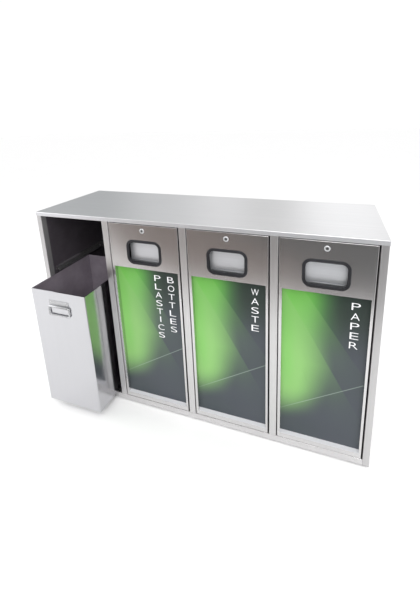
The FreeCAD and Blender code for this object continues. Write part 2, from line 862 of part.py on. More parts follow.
def build():
    side_panel("side_panel_left", "left_end", "left_end + post_width")
    side_panel("side_panel_right", "right_end - post_width", "right_end")
    for make in (floor_panel, header_rail, top_panel, back_panel):
        make()
    for bay in DOOR_BAYS:
        divider_panel(bay)
        stile(bay)
    for make in (guide_rails, bin_runners, levelling_feet, pivot_bushings, frame_fasteners):
        make()
    door_parts = (
        door_panel,
        graphic_panel,
        window_trim,
        flap,
        flap_axle,
        flap_brackets,
        lock_barrel,
        lock_plug,
        lock_cam,
        pivot_pins,
    )
    for bay in DOOR_BAYS:
        for make in door_parts:
            make(bay)
    for bay in BAYS:
        for make in (bin_shell, handle_plate, bail):
            make(bay)


def check():
    """Stop if any object of the document failed, or a sub-part has no good shape."""
    for item in doc.Objects:
        if {"Invalid", "Error"} & set(item.State):
            raise RuntimeError(f"{item.Label} could not be worked out: {item.State}")
    for item in pieces:
        if item.Shape.isNull() or not item.Shape.isValid() or not item.Shape.Solids:
            raise RuntimeError(f"{item.Label} has no good solid")


build()
doc.recompute()
check()
os.makedirs("parts", exist_ok=True)
for item in pieces:
    item.Shape.exportStep(f"parts/{item.Label}.step")
    size = item.Shape.BoundBox
    lengths = f"{size.XLength:.1f} x {size.YLength:.1f} x {size.ZLength:.1f} mm"
    print(f"{item.Label}: {len(item.Shape.Solids)} solid(s), {lengths}")
print(len(pieces), "sub-parts")
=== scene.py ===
"""The finished look of a stainless recycling bin station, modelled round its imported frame."""

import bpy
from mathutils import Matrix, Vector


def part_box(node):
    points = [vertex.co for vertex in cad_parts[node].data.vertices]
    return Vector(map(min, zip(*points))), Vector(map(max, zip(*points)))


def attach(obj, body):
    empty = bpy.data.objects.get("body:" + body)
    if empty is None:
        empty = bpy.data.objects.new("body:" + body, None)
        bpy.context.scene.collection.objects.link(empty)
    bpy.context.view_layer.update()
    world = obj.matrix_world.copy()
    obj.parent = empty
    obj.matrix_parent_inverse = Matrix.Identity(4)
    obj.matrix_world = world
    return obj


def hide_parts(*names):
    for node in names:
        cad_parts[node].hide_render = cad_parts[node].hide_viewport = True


bl_info = {
    "name": "Recycling bin station",
    "version": (1, 0, 0),
    "blender": (4, 5, 0),
    "location": "View3D > Sidebar > Bin station",
    "description": "Models and finishes the sheets, doors, bins and fittings of a recycling bin station",
    "category": "Add Mesh",
}

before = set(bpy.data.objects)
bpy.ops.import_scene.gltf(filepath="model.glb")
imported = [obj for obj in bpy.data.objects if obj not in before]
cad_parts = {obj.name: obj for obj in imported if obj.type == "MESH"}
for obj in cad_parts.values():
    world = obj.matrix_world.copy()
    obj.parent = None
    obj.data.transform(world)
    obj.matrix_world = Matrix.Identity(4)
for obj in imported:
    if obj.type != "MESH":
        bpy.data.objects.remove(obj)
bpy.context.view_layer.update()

from math import pi, radians

import bmesh
import bpy
from bpy.props import FloatProperty, FloatVectorProperty, IntProperty, PointerProperty
from mathutils import Euler, Matrix, Vector

MM = 0.001
BAYS = (1, 2, 3, 4)
DOOR_BAYS = (2, 3, 4)
AXES = "XYZ"
STREAMS = {2: ("PLASTICS", "BOTTLES"), 3: ("WASTE",), 4: ("PAPER",)}

CAMERA_PLACE = (0.5862, -1.4289, 1.4604)
CAMERA_TURN = (radians(76.45), radians(1.716), radians(18.357))
FOCAL_LENGTH_MM, SENSOR_WIDTH_MM = 19.53, 36.0
LENS_SHIFT = (-0.0183, -0.1766)

# Each lamp's place and size, and the spot that both are aimed at.
KEY_LAMP = ((1.0, -2.6, 3.2), 2.6)
FILL_LAMP = ((-3.0, -1.2, 1.6), 1.8)
LAMP_AIM = (0.0, 0.0, 0.6)

# Each card's centre, half size, slant and first tone, and then each turn's start, end and tone.
CARDS = {
    "warm": (
        (-0.15, -1.46, 0.5), (1.6, 0.5), (0.5, 1.0), (0.95, 0.92, 0.90),
        (-0.48, -0.22, (0.27, 0.226, 0.205)),
        (0.2, 0.75, (0.142, 0.141, 0.140)),
    ),
    "behind": (
        (-0.9, 2.4, 1.9), (4.2, 1.3), (1.0, 0.0), (0.44, 0.46, 0.47),
        (-2.5, -1.7, (0.70, 0.71, 0.72)),
        (-1.5, -0.7, (0.93, 0.93, 0.94)),
        (-0.6, -0.25, (0.80, 0.80, 0.80)),
        (0.0, 0.6, (1.27, 1.27, 1.28)),
        (0.9, 1.9, (0.9, 0.9, 0.9)),
    ),
}


# Sizes and colours that a user would change.

def length(name, description, default):
    return FloatProperty(
        name=name, description=description, default=default * MM, min=0.0, precision=5, unit="LENGTH"
    )


def colour(name, description, default):
    return FloatVectorProperty(
        name=name, description=description, default=default, min=0.0, max=1.0, subtype="COLOR"
    )


def power(name, description, default):
    return FloatProperty(name=name, description=description, default=default, min=0.0, unit="POWER")


class StationSizes(bpy.types.PropertyGroup):
    fold: length("Fold radius", "Outer radius of the sheet's folds", 1.6)
    cap_fold: length("Cap fold radius", "Outer radius of the folds round the cap", 2.2)
    bin_fold: length("Bin fold radius", "Outer radius of the bins' folds", 2.4)
    eased: length("Eased edge", "How far a cut edge is rubbed down", 0.35)
    fitting_edge: length("Fitting edge", "Edge rounding on the small fittings", 0.5)
    runner_edge: length("Runner edge", "Edge rounding on the bins' runners", 1.2)
    flap_edge: length("Flap edge", "Edge rounding on the flaps", 0.4)
    plug_edge: length("Plug edge", "Edge rounding on the locks' plugs", 0.25)
    lip_groove: length("Lip groove", "Depth of the groove in the rubber trim's lip", 1.0)
    letter_height: length("Letter height", "Height of a capital letter", 29.5)
    letter_width: length("Letter width", "Width that each letter is drawn to", 32)
    letter_stem: length("Letter stem", "Width of a letter that is one stroke", 5.5)
    letter_pitch: length("Letter pitch", "Distance from one letter down to the next", 43)
    letter_gauge: length("Film gauge", "Thickness of the letters' film", 0.3)
    letter_top: length("Top letter drop", "From the panel's top edge to the first letter's middle", 48)
    letter_inset: length("Letter inset", "From the panel's right edge to the last column's middle", 49.5)
    column_gap: length("Column pitch", "Distance between two columns of letters", 67.5)


class StationColours(bpy.types.PropertyGroup):
    steel: colour("Cabinet steel", "Brushed sheet of the cabinet and doors", (0.66, 0.65, 0.655))
    cap_steel: colour("Cap steel", "Brushed sheet of the cap", (0.72, 0.72, 0.725))
    bin_steel: colour("Bin steel", "Satin sheet of the bins", (0.545, 0.545, 0.565))
    flap_steel: colour("Flap steel", "Satin sheet of the flaps", (0.69, 0.705, 0.735))
    # Painted light: a pale steel for the ledges under the prints and the cap's rim, copies of the same sheet
    # given their own tone.
    painted_light_steel: colour("Ledge steel", "Pale ledges under the prints and the cap's rim", (0.78, 0.785, 0.81))
    # Painted shade: the colour of the dark sheet laid on inner faces, where shade falls.
    painted_shade_tint: colour("Dull steel", "Unpolished inner faces", (0.11, 0.097, 0.112))
    hardware: colour("Hardware", "Bright fittings and wire", (0.66, 0.665, 0.68))
    lime: colour("Lime", "Bright part of the printed panels", (0.225, 0.47, 0.135))
    leaf: colour("Leaf green", "Deep part of the printed green", (0.10, 0.45, 0.03))
    slate: colour("Slate", "Grey part of the printed panels", (0.042, 0.049, 0.063))
    night: colour("Night", "Darkest part of the printed panels", (0.004, 0.014, 0.008))
    glow: colour("Glow", "Light lines in the print", (0.42, 0.52, 0.45))
    lettering: colour("Lettering", "Film of the stream names", (0.86, 0.86, 0.88))
    rubber: colour("Rubber", "Window trims", (0.010, 0.010, 0.013))
    plastic: colour("Black plastic", "Feet, bushings and runners", (0.02, 0.02, 0.022))
    floor: colour("Floor", "The studio floor", (0.97, 0.97, 0.97))


class StationLight(bpy.types.PropertyGroup):
    sky: FloatProperty(name="Sky", description="Strength of the even studio light", default=1.03, min=0.0)
    key: power("Key lamp", "Large soft lamp above the front", 70)
    fill: power("Fill lamp", "Soft lamp at the left", 18)


# Materials.

def shade(tint, amount):
    """A tint made lighter or darker, with a full alpha."""
    return tuple(min(1.0, part * amount) for part in tint[:3]) + (1.0,)


class Finish:
    """A material being made up, with short ways to add nodes and join them."""

    def __init__(self, name):
        self.material = bpy.data.materials.new(name)
        self.material.use_nodes = True
        self.nodes = self.material.node_tree.nodes
        self.links = self.material.node_tree.links
        self.shader = self.nodes["Principled BSDF"]
        self.place = self.nodes.new("ShaderNodeTexCoord").outputs["Object"]

    def feed(self, socket, value):
        if isinstance(value, bpy.types.NodeSocket):
            self.links.new(value, socket)
        else:
            socket.default_value = value

    def surface(self, **values):
        for name, value in values.items():
            self.feed(self.shader.inputs[name.replace("_", " ")], value)

    def stretched(self, scale):
        node = self.nodes.new("ShaderNodeMapping")
        self.feed(node.inputs["Vector"], self.place)
        self.feed(node.inputs["Scale"], scale)
        return node.outputs["Vector"]

    def noise(self, place, scale, detail=2.0, roughness=0.5):
        node = self.nodes.new("ShaderNodeTexNoise")
        self.feed(node.inputs["Vector"], place)
        self.feed(node.inputs["Scale"], scale)
        self.feed(node.inputs["Detail"], detail)
        self.feed(node.inputs["Roughness"], roughness)
        return node.outputs["Fac"]

    def calc(self, operation, *values):
        node = self.nodes.new("ShaderNodeMath")
        node.operation = operation
        for socket, value in zip(node.inputs, values):
            self.feed(socket, value)
        return node.outputs["Value"]

    def ease(self, value, start, end, first=0.0, last=1.0):
        """Runs smoothly from first to last as the value goes from start to end."""
        node = self.nodes.new("ShaderNodeMapRange")
        node.interpolation_type = "SMOOTHSTEP"
        for socket, number in zip(node.inputs, (value, start, end, first, last)):
            self.feed(socket, number)
        return node.outputs["Result"]

    def mix(self, share, first, second):
        node = self.nodes.new("ShaderNodeMix")
        node.data_type = "RGBA"
        colours = [socket for socket in node.inputs if socket.type == "RGBA"]
        self.feed(node.inputs["Factor"], share)
        self.feed(colours[0], first)
        self.feed(colours[1], second)
        return next(socket for socket in node.outputs if socket.type == "RGBA")

    def bump(self, height, depth, under=None):
        node = self.nodes.new("ShaderNodeBump")
        self.feed(node.inputs["Height"], height)
        self.feed(node.inputs["Distance"], depth)
        if under:
            self.feed(node.inputs["Normal"], under)
        return node.outputs["Normal"]


def made_once(make):
    """Keep the material that a recipe made, under its name, for the next piece."""
    def fetch(name, *details, **settings):
        return bpy.data.materials.get(name) or make(name, *details, **settings)
    return fetch


@made_once
def brushed_sheet(name, tint, roughness, grain, wave=0.0028, soil=0.12, metal=1.0):
    """Brushed stainless sheet: fine lines along the grain, slow waves and handling marks."""
    finish = Finish(name)
    fine, broad = [850.0] * 3, [95.0] * 3
    fine[AXES.index(grain)], broad[AXES.index(grain)] = 2.2, 0.5
    hairs = finish.noise(finish.stretched(fine), 1.0, 1.5, 0.5)
    bands = finish.noise(finish.stretched(broad), 1.0, 2.0)
    lines = finish.calc("MULTIPLY_ADD", hairs, 0.55, finish.calc("MULTIPLY", bands, 0.45))
    clouds = finish.noise(finish.place, 4.2, 5.0, 0.62)
    marks = finish.ease(clouds, 0.42, 0.78)
    spots = finish.ease(finish.noise(finish.place, 55.0, 3.0), 0.66, 0.8)
    base = finish.mix(finish.ease(lines, 0.3, 0.7), shade(tint, 0.965), shade(tint, 1.02))
    base = finish.mix(finish.calc("MULTIPLY", marks, soil), base, shade(tint, 0.7))
    base = finish.mix(finish.calc("MULTIPLY", spots, soil * 0.5), base, shade(tint, 0.5))
    worn = finish.calc("MULTIPLY_ADD", marks, 0.022, finish.calc("MULTIPLY", spots, 0.012))
    brushing = finish.ease(lines, 0.3, 0.7, roughness - 0.003, roughness + 0.003)
    rough = finish.calc("ADD", brushing, worn)
    waves = finish.bump(finish.noise(finish.place, 2.4, 1.0), wave)
    finish.surface(
        Base_Color=base, Roughness=rough, Metallic=metal, Normal=finish.bump(hairs, 0.000003, waves)
    )
    return finish.material


@made_once
def shade_painted_sheet(name, tint, roughness=0.42, metal=0.5, front_tint=None, front=0.0):
    """Inner faces painted dark as painted shade, with blotches and scuffs; the front tint, if any, takes
    over at the front.
    """
    finish = Finish(name)
    blotches = finish.noise(finish.place, 9.0, 5.0, 0.65)
    scuffs = finish.noise(finish.stretched((14.0, 14.0, 210.0)), 1.0, 3.0)
    base = finish.mix(finish.ease(blotches, 0.3, 0.75), shade(tint, 0.86), shade(tint, 1.14))
    base = finish.mix(finish.ease(scuffs, 0.58, 0.8, 0.0, 0.2), base, shade(tint, 2.0))
    if front_tint:
        parts = finish.nodes.new("ShaderNodeSeparateXYZ")
        finish.feed(parts.inputs["Vector"], finish.place)
        ahead = finish.ease(parts.outputs["Y"], front + 8 * MM, front)
        # The painted shade fades out here: the 8 mm nearest the front take a darkened copy of the front
        # tint.
        base = finish.mix(ahead, base, shade(front_tint, 0.45))
    rough = finish.calc("MULTIPLY_ADD", blotches, 0.06, roughness - 0.03)
    waves = finish.bump(finish.noise(finish.place, 3.1, 1.0), 0.003)
    finish.surface(
        Base_Color=base, Roughness=rough, Metallic=metal, Normal=finish.bump(scuffs, 0.00001, waves)
    )
    return finish.material


@made_once
def bright_metal(name, tint, roughness=0.2):
    """Polished fittings and wire: small scratches, a few dulled spots."""
    finish = Finish(name)
    scratches = finish.noise(finish.stretched((900.0, 260.0, 900.0)), 1.0, 3.0)
    dullness = finish.noise(finish.place, 85.0, 4.0, 0.6)
    base = finish.mix(finish.ease(scratches, 0.35, 0.7), shade(tint, 0.88), shade(tint, 1.1))
    base = finish.mix(finish.ease(dullness, 0.55, 0.8, 0.0, 0.35), base, shade(tint, 0.55))
    scratched = finish.calc("MULTIPLY_ADD", scratches, 0.1, roughness - 0.1)
    rough = finish.calc("MULTIPLY_ADD", dullness, 0.16, scratched)
    finish.surface(Base_Color=base, Roughness=rough, Metallic=1.0, Normal=finish.bump(scratches, 0.00004))
    return finish.material


@made_once
def satin_nickel(name, tint):
    """Plated lock faces and rivets: pale, soft in their gloss, with fine worn specks."""
    finish = Finish(name)
    specks = finish.noise(finish.place, 420.0, 4.0, 0.6)
    clouds = finish.noise(finish.place, 60.0, 3.0)
    base = finish.mix(finish.ease(specks, 0.4, 0.7), shade(tint, 1.06), shade(tint, 0.84))
    rough = finish.calc("MULTIPLY_ADD", clouds, 0.2, 0.3)
    finish.surface(Base_Color=base, Roughness=rough, Metallic=0.75, Normal=finish.bump(specks, 0.00002))
    return finish.material


@made_once
def moulded(name, tint, roughness):
    """Rubber and moulded plastic: a fine grained skin with dust in it."""
    finish = Finish(name)
    grains = finish.noise(finish.place, 1400.0, 2.0)
    dust = finish.ease(finish.noise(finish.place, 38.0, 5.0, 0.65), 0.45, 0.8)
    rubbed = finish.noise(finish.place, 9.0, 3.0)
    base = finish.mix(finish.ease(rubbed, 0.3, 0.7), shade(tint, 0.8), shade(tint, 1.3))
    base = finish.mix(finish.calc("MULTIPLY", dust, 0.1), base, shade(tint, 5.0))
    grained = finish.calc("MULTIPLY_ADD", grains, 0.1, roughness - 0.05)
    finish.surface(
        Base_Color=base,
        Roughness=finish.calc("MULTIPLY_ADD", dust, 0.18, grained),
        Normal=finish.bump(grains, 0.00008),
        Specular_IOR_Level=0.35,
    )
    return finish.material


@made_once
def film(name, tint):
    """Cut letter film: near white, faintly mottled, with a soft gloss."""
    finish = Finish(name)
    mottle = finish.noise(finish.place, 60.0, 4.0)
    base = finish.mix(finish.ease(mottle, 0.3, 0.7), shade(tint, 0.95), shade(tint, 1.02))
    finish.surface(
        Base_Color=base,
        Roughness=finish.calc("MULTIPLY_ADD", mottle, 0.14, 0.28),
        Normal=finish.bump(mottle, 0.00005),
    )
    return finish.material


@made_once
def printed_panel(name, colours):
    """A laminated print: soft green light from the left, crossed by slanting rays, into slate."""
    finish = Finish(name)
    sheet_map = finish.nodes.new("ShaderNodeUVMap")
    sheet_map.uv_map = "print"
    parts = finish.nodes.new("ShaderNodeSeparateXYZ")
    finish.feed(parts.inputs["Vector"], sheet_map.outputs["UV"])
    across, up = parts.outputs["X"], parts.outputs["Y"]
    calc, ease, mix = finish.calc, finish.ease, finish.mix

    # The green fades to the right and towards the bottom.
    sway = calc("ABSOLUTE", calc("SUBTRACT", up, 0.52))
    rightward = ease(calc("MULTIPLY_ADD", sway, 0.34, across), 0.22, 0.68)
    downward = ease(calc("MULTIPLY_ADD", across, -0.12, up), 0.33, 0.07)
    green = calc("MULTIPLY", calc("SUBTRACT", 1.0, rightward), calc("SUBTRACT", 1.0, downward))
    base = mix(calc("SUBTRACT", 1.0, green), shade(colours.lime, 1.0), shade(colours.slate, 1.0))

    # A deeper strip down the left edge, a dark wedge at the top and a deep crown under it.
    strip = calc("MULTIPLY", ease(across, 0.21, 0.07), ease(up, 0.25, 0.5))
    base = mix(calc("MULTIPLY", strip, 0.24), base, shade(colours.leaf, 1.22))
    aside = calc("ABSOLUTE", calc("SUBTRACT", across, 0.2))
    wedge = calc("MULTIPLY", ease(up, 0.86, 1.0), ease(aside, 0.16, 0.05))
    base = mix(calc("MULTIPLY", wedge, 0.7), base, shade(colours.leaf, 0.5))
    crown = calc("MULTIPLY", ease(up, 0.56, 0.95), ease(across, 0.84, 0.32))
    base = mix(calc("MULTIPLY", crown, 0.7), base, shade(colours.leaf, 0.8))

    # The top right corner falls away to near black, and the foot darkens a little.
    corner = calc("MULTIPLY", ease(across, 0.3, 0.75), ease(up, 0.56, 0.9))
    base = mix(calc("MULTIPLY", corner, 0.9), base, shade(colours.night, 1.0))
    foot = calc("MULTIPLY", ease(up, 0.22, 0.02), ease(across, 0.75, 0.2))
    base = mix(calc("MULTIPLY", foot, 0.35), base, shade(colours.night, 2.0))

    # Two slanting rays, each bright along its edge and soft behind it.
    for slope, height, strength, width in ((0.80, 1.0, 0.4, 0.44), (0.66, 1.165, 0.26, 0.42)):
        below = calc("SUBTRACT", height, calc("MULTIPLY_ADD", across, slope, up))
        beam = calc("MULTIPLY", ease(below, -0.004, 0.012), ease(below, width, 0.0))
        beam = calc("MULTIPLY", beam, ease(across, 0.92, 0.22, 0.1, 1.0))
        lit = calc("MULTIPLY", beam, ease(up, 0.1, 0.5, 0.3, 1.0))
        base = mix(calc("MULTIPLY", lit, strength), base, shade(colours.lime, 0.8))

    # One thin light line climbs gently across the panel, with paler slate below it.
    climb = calc("MULTIPLY_ADD", across, 0.285, 0.165)
    away = calc("ABSOLUTE", calc("SUBTRACT", up, climb))
    thread = calc("MULTIPLY", ease(away, 0.0045, 0.001), ease(across, 0.0, 0.35, 0.14, 0.34))
    base = mix(thread, base, shade(colours.glow, 1.0))
    lower = ease(calc("SUBTRACT", climb, up), 0.0, 0.16, 0.0, 0.3)
    base = mix(lower, base, shade(colours.slate, 1.25))

    specks = finish.noise(finish.place, 900.0, 2.0)
    base = mix(0.02, base, mix(specks, shade(colours.night, 1.0), shade(colours.glow, 1.0)))
    smears = finish.ease(finish.noise(finish.place, 6.0, 5.0, 0.6), 0.4, 0.8)
    waves = finish.bump(finish.noise(finish.place, 4.0, 1.0), 0.0012)
    finish.surface(
        Base_Color=base,
        Roughness=calc("MULTIPLY_ADD", smears, 0.016, 0.275),
        Normal=finish.bump(specks, 0.000002, waves),
        Specular_IOR_Level=0.36,
        Coat_Weight=0.12,
        Coat_Roughness=0.1,
    )
    return finish.material


@made_once
def glow_card(name, slant, tone, *turns):
    """A card that shades from its first tone to the others in turn, along a slanting line."""
    finish = Finish(name)
    parts = finish.nodes.new("ShaderNodeSeparateXYZ")
    finish.feed(parts.inputs["Vector"], finish.place)
    along = finish.calc("MULTIPLY", parts.outputs["X"], slant[0])
    along = finish.calc("MULTIPLY_ADD", parts.outputs["Z"], slant[1], along)
    shading = (*tone, 1.0)
    for start, end, following in turns:
        shading = finish.mix(finish.ease(along, start, end), shading, (*following, 1.0))
    finish.surface(
        Base_Color=(0.0, 0.0, 0.0, 1.0),
        Specular_IOR_Level=0.0,
        Emission_Strength=1.0,
        Emission_Color=shading,
    )
    return finish.material


@made_once
def studio_floor(name, tint):
    """A pale matt floor, very faintly mottled."""
    finish = Finish(name)
    mottle = finish.noise(finish.place, 1.5, 3.0)
    finish.surface(
        Base_Color=finish.mix(mottle, shade(tint, 0.985), shade(tint, 1.01)),
        Roughness=0.75,
        Specular_IOR_Level=0.2,
    )
    return finish.material


# Ways of shaping a piece.

LEVEL_BEND, SOFT_BEND, SHARP_BEND = radians(1.5), radians(35.0), radians(40.0)


def corners_of(node):
    """The low corner, the high corner and the middle of a node's box."""
    low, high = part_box(node)
    return low, high, (low + high) / 2


def merged_copy(node):
    """A node's own shape with its loose triangles joined into flat faces."""
    bm = bmesh.new()
    bm.from_mesh(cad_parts[node].data)
    bmesh.ops.remove_doubles(bm, verts=bm.verts, dist=0.00001)
    bmesh.ops.dissolve_limit(
        bm, angle_limit=radians(1.0), use_dissolve_boundaries=False, verts=bm.verts, edges=bm.edges
    )
    for face in bm.faces:
        bends = [edge.calc_face_angle(0.0) for edge in face.edges]
        face.smooth = any(LEVEL_BEND < bend < SOFT_BEND for bend in bends)
    return bm


def round_edges(bm, edges, radius, segments):
    """Bevel edges to a round of the radius and shade it smooth."""
    result = bmesh.ops.bevel(
        bm,
        geom=edges,
        offset=radius,
        offset_type="OFFSET",
        affect="EDGES",
        segments=segments,
        profile=0.5,
        material=-1,
        clamp_overlap=True,
    )
    for face in result["faces"]:
        face.smooth = True


def sharp_edges(bm):
    return [edge for edge in bm.edges if edge.is_manifold and edge.calc_face_angle(0.0) > SHARP_BEND]


def outline_edges(bm, low, high, runs, open_side=""):
    """Edges on the corners of a box that run along the given axes, away from its open side."""
    def sides(point):
        found = set()
        for axis, letter in enumerate(AXES):
            if abs(point[axis] - low[axis]) < 0.02 * MM:
                found.add("-" + letter)
            if abs(point[axis] - high[axis]) < 0.02 * MM:
                found.add("+" + letter)
        return found
    chosen = []
    for edge in sharp_edges(bm):
        shared = sides(edge.verts[0].co) & sides(edge.verts[1].co)
        run = edge.verts[1].co - edge.verts[0].co
        main = AXES[max(range(3), key=lambda axis: abs(run[axis]))]
        if len(shared) >= 2 and main in runs and open_side not in shared:
            chosen.append(edge)
    return chosen


def place_piece(context, name, bm, materials, body, slot, *nodes):
    """Turn a finished shape into a piece on a body; it stands for the nodes named."""
    mesh = bpy.data.meshes.new(name)
    bm.to_mesh(mesh)
    bm.free()
    for material in materials:
        mesh.materials.append(material)
    piece = bpy.data.objects.new(name, mesh)
    context.scene.collection.objects.link(piece)
    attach(piece, body)
    if nodes:
        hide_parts(*nodes)
    return piece


def inner_faces(bm, low, high):
    """Give the second material to faces that look into the space between two corners."""
    middle = (low + high) / 2
    for face in bm.faces:
        spot = face.calc_center_median()
        inside = all(low[axis] <= spot[axis] <= high[axis] for axis in range(3))
        if inside and face.normal.dot(middle - spot) >= 0:
            face.material_index = 1


def softened(
    context, node, body, slot, materials, runs="", fold=0.0, open_side="", inner=None, eased=None, first=None
):
    """A node's shape with its folds rounded and its cut edges eased.

    Its faces that look into the space between inner's two corners get the second material.
    """
    sizes = context.scene.station_sizes
    bm = merged_copy(node)
    low, high, _ = corners_of(node)
    if first:
        first(bm, low, high)
    if runs:
        folds = outline_edges(bm, low, high, runs, open_side)
        if folds:
            round_edges(bm, folds, fold, 4)
    round_edges(bm, sharp_edges(bm), sizes.eased if eased is None else eased, 2)
    if inner:
        inner_faces(bm, *inner)
    return place_piece(context, node + "_made", bm, materials, body, slot, node)


def drawn_line(bm, points, closed=False):
    """Edges from point to point, and from the last to the first where the line is closed."""
    spots = [bm.verts.new(point) for point in points]
    start = 0 if closed else 1
    edges = [bm.edges.new((spots[index - 1], spots[index])) for index in range(start, len(spots))]
    return spots + edges


def turned(bm, line, centre, axis, steps):
    """A line of edges spun once round a centre line."""
    bmesh.ops.spin(
        bm, geom=line, cent=centre, axis=axis, dvec=(0, 0, 0), angle=2 * pi, steps=steps, use_merge=True
    )


def swept_round(bm, loop, middle, half_width, half_height, radius, steps):
    """Carry a loop, drawn at the middle of the lower side, round an upright rounded rectangle."""
    run_x, run_z = half_width - radius, half_height - radius
    bends = ((run_x, -run_z), (run_x, run_z), (-run_x, run_z), (-run_x, -run_z), None)
    runs = ((run_x, 0), (0, 2 * run_z), (-2 * run_x, 0), (0, -2 * run_z), (run_x, 0))
    for (x, z), bend in zip(runs, bends):
        loop = bmesh.ops.spin(
            bm, geom=loop, cent=middle, axis=(0, 1, 0), dvec=(x, 0, z), angle=0, steps=1
        )["geom_last"]
        if bend:
            centre = middle + Vector((bend[0], 0, bend[1]))
            loop = bmesh.ops.spin(
                bm, geom=loop, cent=centre, axis=(0, 1, 0), dvec=(0, 0, 0), angle=-pi / 2, steps=steps
            )["geom_last"]


def closed_up(bm):
    """Merge the seams of a swept shape, turn its faces outwards and shade it smooth."""
    bmesh.ops.remove_doubles(bm, verts=bm.verts, dist=0.000005)
    bmesh.ops.recalc_face_normals(bm, faces=bm.faces)
    for face in bm.faces:
        face.smooth = True
    for edge in bm.edges:
        edge.smooth = edge.calc_face_angle(0.0) < radians(38.0)


# The pieces.

class StationOperator:
    """What the station's operators share."""
    bl_options = {"REGISTER", "UNDO"}


class STATION_OT_cabinet(StationOperator, bpy.types.Operator):
    """Round the folds of the cabinet's sheets, give them their brushed finish and paint their inner faces
    dark as painted shade
    """
    bl_idname = "station.cabinet"
    bl_label = "Cabinet sheets"

    def execute(self, context):
        sizes, colours = context.scene.station_sizes, context.scene.station_colours
        tray_low, tray_high, _ = corners_of("floor_panel")
        _, rail_high, _ = corners_of("header_rail")
        hollow = (
            Vector((tray_low.x - MM, tray_low.y - MM, tray_high.z - 0.5 * MM)),
            Vector((tray_high.x + MM, tray_high.y + MM, rail_high.z + MM)),
        )
        upright = brushed_sheet("steel_brushed_upright", shade(colours.steel, 0.94), 0.3, "Z")
        post = brushed_sheet("steel_stiles", colours.steel, 0.36, "Z", wave=0.0016)
        level = brushed_sheet("steel_brushed_level", colours.steel, 0.27, "X")
        cap = brushed_sheet("steel_cap", colours.cap_steel, 0.34, "X", soil=0.08)
        # Painted light: the cap's flange faces get their own copy of the pale steel, less metallic and
        # rougher than the cap's top.
        rim_tint = shade(colours.painted_light_steel, 0.88)
        rim = brushed_sheet("steel_cap_rim", rim_tint, 0.42, "X", wave=0.001, metal=0.85)
        # Painted shade: the side panels are a darker copy of the cabinet steel.
        side = brushed_sheet("steel_sides", shade(colours.steel, 0.86), 0.4, "Z")
        # Painted shade: faces that look into the cabinet's hollow get this dark sheet.
        painted_shade = shade_painted_sheet("steel_dull", colours.painted_shade_tint, front_tint=colours.steel, front=rail_high.y)

        def sheet(node, *finishes, **folds):
            return softened(context, node, "cabinet", "brushed_stainless", finishes, **folds)

        roof = sheet(
            "top_panel", cap, painted_shade, rim, runs="XYZ", fold=sizes.cap_fold, open_side="-Z", inner=hollow
        )
        # The flange faces that are left take the rim's painted-light copy.
        for face in roof.data.polygons:
            if face.material_index == 0 and abs(face.normal.z) < 0.5:
                face.material_index = 2
        sheet("header_rail", level, runs="X", fold=sizes.fold)
        sheet("floor_panel", level, runs="X", fold=sizes.fold, open_side="-Z")
        sheet("back_panel", upright, painted_shade, inner=hollow)
        for hand in ("left", "right"):
            sheet(f"side_panel_{hand}", side, painted_shade, runs="Z", fold=sizes.fold, inner=hollow)
        for number in (1, 2, 3):
            sheet(f"stile_{number}", post, runs="Z", fold=sizes.fold)
            # Painted shade: the dividers are wholly in the dark sheet.
            softened(context, f"divider_panel_{number}", "cabinet", "inner_panels", (painted_shade,))
        return {"FINISHED"}


class STATION_OT_inner_parts(StationOperator, bpy.types.Operator):
    """Finish the guide rails, the bins' runners, the bushings and the rivets"""
    bl_idname = "station.inner_parts"
    bl_label = "Rails, runners and rivets"

    def execute(self, context):
        sizes, colours = context.scene.station_sizes, context.scene.station_colours
        # Painted shade: the guide rails inside the bays are a darker copy of the cabinet steel.
        rail = brushed_sheet("steel_guide_rails", shade(colours.steel, 0.6), 0.26, "Y", metal=0.9)
        plastic = moulded("plastic_black", colours.plastic, 0.5)
        nickel = satin_nickel("metal_nickel", colours.hardware)
        for node, slot, finish, eased in (
            ("guide_rails", "brushed_stainless", rail, sizes.eased),
            ("bin_runners", "black_plastic", plastic, sizes.runner_edge),
            ("pivot_bushings", "black_plastic", plastic, sizes.eased),
            ("frame_fasteners", "bright_hardware", nickel, sizes.fitting_edge),
        ):
            softened(context, node, "cabinet", slot, (finish,), eased=eased)
        return {"FINISHED"}


